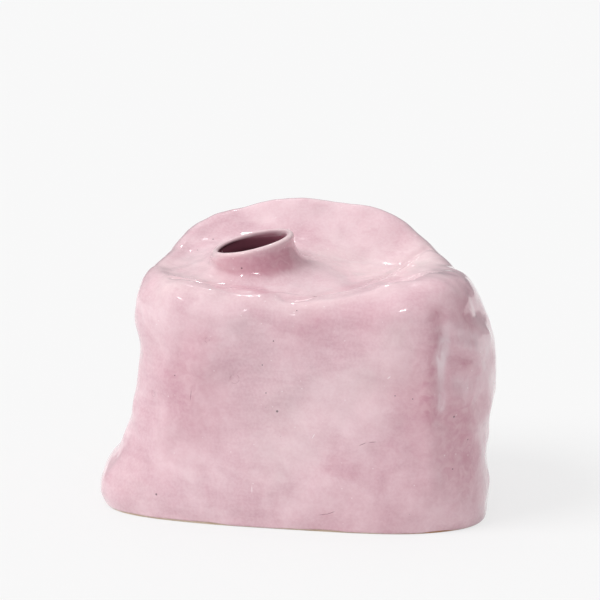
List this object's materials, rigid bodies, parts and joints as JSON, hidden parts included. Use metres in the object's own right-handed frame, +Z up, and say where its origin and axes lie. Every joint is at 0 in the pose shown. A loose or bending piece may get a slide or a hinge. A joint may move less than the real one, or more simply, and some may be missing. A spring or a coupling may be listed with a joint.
{
  "type": "pillow vase",
  "caption": "Hand-built slab vase with soft pillowed walls, a sloping dished top that rises to a back ridge, and a short neck with a tilted round mouth.",
  "frame": {"origin": "centre of the flat sole, on the surface that the vase stands on", "axes": "+Z up, the broad front faces -Y, and +X is to the right seen from the front"},
  "size_m": [0.2404, 0.1566, 0.1785],
  "materials": {
    "pink_glaze": "glossy pale pink glaze, mottled where it pools and breaks",
    "inner_glaze": "thin glossy pink glaze inside",
    "bare_clay": "matt unglazed buff stoneware"
  },
  "bodies": {
    "root": {"floor_slab": "bare_clay", "front_wall": "pink_glaze", "right_wall": "pink_glaze", "back_wall": "pink_glaze", "left_wall": "pink_glaze", "top_slab": "pink_glaze", "neck_root_coil": "pink_glaze", "neck_collar": "pink_glaze", "floor_seam_coil": "inner_glaze", "shoulder_seam_coil": "inner_glaze", "front_right_seam_coil": "inner_glaze", "back_right_seam_coil": "inner_glaze", "back_left_seam_coil": "inner_glaze", "front_left_seam_coil": "inner_glaze"}
  },
  "joints": []
}
